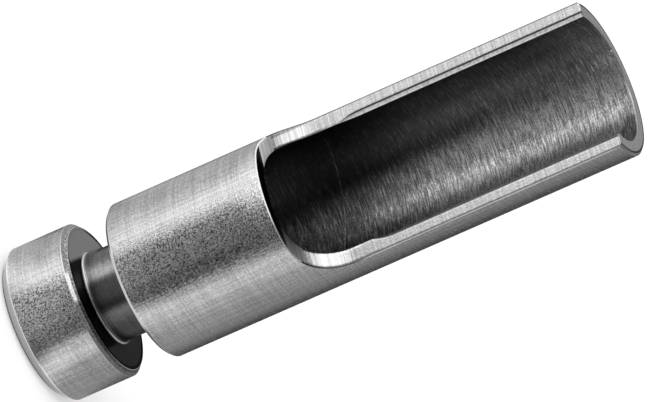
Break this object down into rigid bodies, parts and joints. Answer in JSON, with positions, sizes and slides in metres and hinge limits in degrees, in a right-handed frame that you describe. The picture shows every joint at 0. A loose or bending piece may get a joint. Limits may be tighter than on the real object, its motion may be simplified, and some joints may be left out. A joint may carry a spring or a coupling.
{
  "type": "nibbler punch",
  "caption": "Round nibbler punch: a flat head and narrow neck for the drive, a solid guide shank, and a half-tube with flat rails whose end cuts sheet metal.",
  "frame": {"origin": "centre of the head's flat face, on the punch's axis", "axes": "+Z along the axis from the head to the cutting end; the half-tube opens towards -Y; the rails lie at -X and +X"},
  "size_m": [0.01, 0.01, 0.0388],
  "materials": {
    "tool_steel": "ground and lightly polished, with fine lines round the axis"
  },
  "bodies": {
    "root": {"punch": "tool_steel"}
  },
  "joints": []
}
